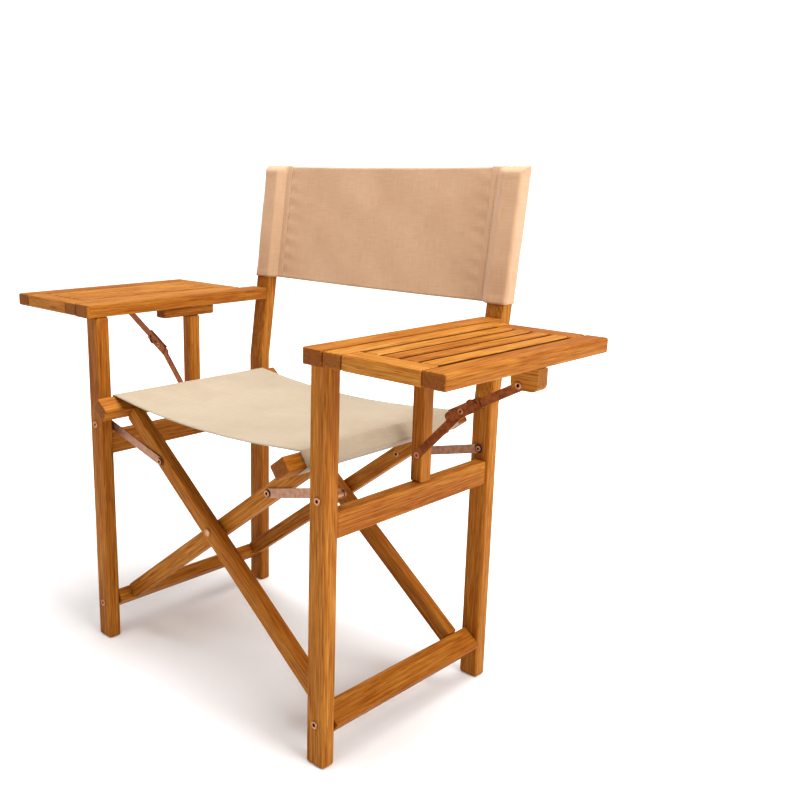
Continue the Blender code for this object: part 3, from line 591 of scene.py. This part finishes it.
def makeSleeve(word, side):
    # plan of the loop: the seam's two layers, then a rounded box round the post; carried up the leaning post
    hx, hy = post["halfWide"] + back["clear"], post["halfDeep"] + back["clear"]
    r, neck = sleeve["corner"], sleeve["neck"]
    seamX = post["halfWide"] - back["seam"]
    # the two layers reach past the stitches, so that they hide the panel's edge when folded; the panel does not
    # follow the right frame's lean, and cuts into them there
    flapX = seamX - back["flap"]
    loop = [np.array([(flapX, -sleeve["layerEnd"])]), np.array([(seamX, -sleeve["layer"])])]
    for cx, cy, a0 in ((-hx + neck, -hy + neck, -128), (hx - r, -hy + r, -90), (hx - r, hy - r, 0),
                       (-hx + neck, hy - neck, 90)):
        span = 38 if cx < 0 else 90
        radius = neck if cx < 0 else r
        loop.append(arcPoints((cx, cy), radius, a0, a0 + span, 7))
    loop += [np.array([(seamX, sleeve["layer"])]), np.array([(flapX, sleeve["layerEnd"])])]
    loop = np.concatenate(loop)
    # resample evenly so that the weave and the wrinkles are even
    length = np.concatenate([[0], np.cumsum(np.linalg.norm(np.diff(loop, axis=0), axis=1))])
    s = np.linspace(0, length[-1], 96)
    plan = np.stack([np.interp(s, length, loop[:, 0]), np.interp(s, length, loop[:, 1])], -1)
    z = np.concatenate([np.linspace(back["bottom"], back["top"] - back["close"], back["rows"]),
                        np.linspace(back["top"] - back["close"], back["top"], 14)[1:]])
    runGrid, zGrid = np.meshgrid(s, z)
    x = np.broadcast_to(plan[:, 0], runGrid.shape).copy()
    yy = np.broadcast_to(plan[:, 1], runGrid.shape).copy()
    # above the post's end the sleeve is sewn flat, so its outer corner stands out a little
    close = np.clip((zGrid - (back["top"] - back["close"])) / back["close"], 0, 1)
    yy *= 1 - 0.88 * close ** 2.4
    x += np.clip(x / hx, 0, 1) * 0.0045 * close ** 1.5
    # soft wrinkles on the two wide faces, and a hem band at the bottom and the top
    ripple = (np.sin(zGrid * 95 + runGrid * 40 + side) * 0.5 + np.sin(zGrid * 47 - runGrid * 65 + 2) * 0.5) * 0.0006
    loose = np.clip((np.abs(yy) - 0.004) / 0.006, 0, 1)
    grow = ripple * loose + 0.0006 * smoothStep(back["bottom"] + back["hem"] - zGrid, 0, 0.0015) * loose
    grow += 0.0005 * smoothStep(zGrid - (back["top"] - 0.018), 0, 0.0015) * loose * (1 - close)
    yy += np.sign(yy) * grow
    points = np.stack([side * (postX + x), postMiddleY + leanBack(zGrid) + yy, zGrid], -1)
    faces = gridFaces(*runGrid.shape)
    if side < 0:
        faces = faces[:, ::-1]
    uv = np.stack([runGrid, zGrid - back["bottom"]], -1).reshape(-1, 2)
    obj = makeObject(f"{word}BackSleeve", points, faces, backCloth, uv=uv)
    addThickness(obj, back["thick"])
    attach(obj, f"{word}_frame")
    # two rows of stitches close the sleeve beside the post
    for row, offset in enumerate((0.0035, -0.0030)):
        for face in (-1, 1):
            height = np.linspace(back["bottom"] + 0.004, back["top"] - 0.010, 60)
            depth = sleeve["layer"] + back["thick"] / 2 + 0.0001
            path = np.stack([np.full(60, side * (postX + seamX + offset)),
                             postMiddleY + leanBack(height) + face * depth, height], -1)
            starts, ends = stitchRow(path, stitch["spacing"], stitch["length"])
            normals = np.broadcast_to([0, face, 0], starts.shape)
            makeStitches(f"{word}_seam_stitches_{row}_{'front' if face < 0 else 'rear'}", starts, ends, normals,
                         f"{word}_frame", stitch["radius"])
    return obj


sleeves = [makeSleeve(word, side) for word, side in sides.items()]
seamX = postX + post["halfWide"] - back["seam"]


def makePanel():
    # the panel hangs between the seams: y bellies back as a parabola, with shallow pulls at the corners
    x = np.linspace(-seamX - 0.002, seamX + 0.002, back["columns"])
    z = np.linspace(back["bottom"], back["top"] - back["short"], back["rows"])
    xGrid, zGrid = np.meshgrid(x, z)
    t = (zGrid - back["bottom"]) / (back["top"] - back["bottom"])
    reach = 1 - (xGrid / seamX) ** 2
    yGrid = postMiddleY + leanBack(zGrid) + back["belly"] * np.clip(reach, 0, 1) * (0.6 + 0.4 * np.sin(np.pi * t))
    yGrid += np.sin(xGrid * 38 + t * 5.0) * np.sin(t * 6.0 + 0.5) * 0.0011 * np.clip(reach * 2, 0, 1)
    pull = np.exp(-((seamX - np.abs(xGrid)) / 0.035) ** 2)
    yGrid += np.sin(t * 52 + xGrid * 60) * 0.0007 * pull * np.clip((seamX - np.abs(xGrid)) / 0.01, 0, 1)
    # the top edge dips a little between the posts, the bottom edge too
    topDip = 0.0018 * np.clip(reach, 0, 1) * smoothStep(t, 0.6, 1)
    bottomDip = 0.002 * np.clip(reach, 0, 1) * smoothStep(1 - t, 0.6, 1)
    zGrid = zGrid - topDip - bottomDip
    uv = np.stack([xGrid + 0.3, zGrid - back["bottom"]], -1).reshape(-1, 2)
    obj = makeObject("backPanel", np.stack([xGrid, yGrid, zGrid], -1), gridFaces(*xGrid.shape), backCloth, uv=uv)
    addThickness(obj, back["thick"])
    # hems: a second layer behind the top and the bottom edge
    bands = []
    height = back["top"] - back["bottom"]
    for row, (a, b) in enumerate(((0.0, back["hem"]), (height - back["hem"], height - back["short"]))):
        pick = (zGrid[:, 0] - back["bottom"] >= a - 0.004) & (zGrid[:, 0] - back["bottom"] <= b + 0.004)
        rows = np.where(pick)[0]
        sub = np.stack([xGrid, yGrid + 0.0014, zGrid], -1)[rows[0]:rows[-1] + 1]
        uvBand = np.stack([xGrid + 0.3, zGrid], -1)[rows[0]:rows[-1] + 1].reshape(-1, 2)
        band = makeObject(f"backHem{row}", sub, gridFaces(*sub.shape[:2]), backCloth, uv=uvBand)
        addThickness(band, 0.0012)
        bands.append(band)
    return obj, bands


panel, bands = makePanel()
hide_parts("back_canvas")
for piece in [panel] + bands:
    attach(piece, "left_frame")
    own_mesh(piece)
print("back canvas made")

floorStuff, floorTree, floorShader = newMaterial("pale_floor")
floorShader.inputs["Base Color"].default_value = toLinear("#fbfafa")
floorShader.inputs["Roughness"].default_value = 0.9
# painted light: away from the chair the floor glows more and more, standing in for studio light that falls off,
# until it meets the white backdrop
floorShader.inputs["Emission Color"].default_value = toLinear("#ffffff")
floorCoords = addNode(floorTree, "ShaderNodeTexCoord")
away = addNode(floorTree, "ShaderNodeVectorMath", None, {0: floorCoords.outputs["Object"]}, operation="LENGTH")
paintedFloorGlow = addNode(floorTree, "ShaderNodeMapRange", {"From Min": 0.7, "From Max": 2.6, "To Max": 0.62},
               {0: away.outputs["Value"]})
floorTree.links.new(paintedFloorGlow.outputs[0], floorShader.inputs["Emission Strength"])
far = 9.0
floor = makeObject("floor", [(-far, -far, 0), (far, -far, 0), (far, far, 0), (-far, far, 0)], [[0, 1, 2, 3]],
                   floorStuff, smooth=False)

bpy.context.scene.view_settings.view_transform = "Standard"
bpy.context.scene.view_settings.look = "Medium High Contrast"
studio = {"shed": 0.50}
world = bpy.data.worlds.new("studio")
bpy.context.scene.world = world
world.use_nodes = True
sky = world.node_tree.nodes["Background"]
sky.inputs["Color"].default_value = toLinear("#ffffff")
# the backdrop itself is white; what it sheds on the chair is softer
rays = addNode(world.node_tree, "ShaderNodeLightPath")
strength = addNode(world.node_tree, "ShaderNodeMapRange", {"To Min": studio["shed"], "To Max": 1.0},
                   {0: rays.outputs["Is Camera Ray"]})
world.node_tree.links.new(strength.outputs[0], sky.inputs["Strength"])

lamps = {
    "key": {"at": (3.0, 0.1, 1.9), "size": 1.5, "power": 53},
    "fill": {"at": (-1.2, -2.8, 1.8), "size": 2.2, "power": 6},
    "top": {"at": (0.3, 0.2, 3.2), "size": 2.2, "power": 100},
}
for name, lamp in lamps.items():
    data = bpy.data.lights.new(name, "AREA")
    data.energy, data.size = lamp["power"], lamp["size"]
    light = bpy.data.objects.new(name, data)
    bpy.context.scene.collection.objects.link(light)
    light.location = lamp["at"]
    light.rotation_euler = (Vector(lamp["at"]) - Vector((0, 0, 0.45))).to_track_quat("Z", "Y").to_euler()

camera = {"azimuth": 45.586, "elevation": 13.419, "roll": 0.467, "lens": 42.49, "shiftX": 0.125, "shiftY": -0.0018,
          "at": (1.1477, -1.1038, 0.8570)}
azimuth, elevation, roll = (math.radians(camera[k]) for k in ("azimuth", "elevation", "roll"))
backward = Vector((math.sin(azimuth) * math.cos(elevation), -math.cos(azimuth) * math.cos(elevation),
                   math.sin(elevation)))
rightward = Vector((math.cos(azimuth), math.sin(azimuth), 0))
upward = backward.cross(rightward)
tiltedRight = rightward * math.cos(roll) + upward * math.sin(roll)
tiltedUp = upward * math.cos(roll) - rightward * math.sin(roll)
lensData = bpy.data.cameras.new("camera")
lensData.lens, lensData.sensor_width = camera["lens"], 36
lensData.shift_x, lensData.shift_y = camera["shiftX"], camera["shiftY"]
viewer = bpy.data.objects.new("camera", lensData)
bpy.context.scene.collection.objects.link(viewer)
turnMatrix = Matrix((tiltedRight, tiltedUp, backward)).transposed().to_4x4()
viewer.matrix_world = Matrix.Translation(camera["at"]) @ turnMatrix
bpy.context.scene.camera = viewer

print("scene ready")
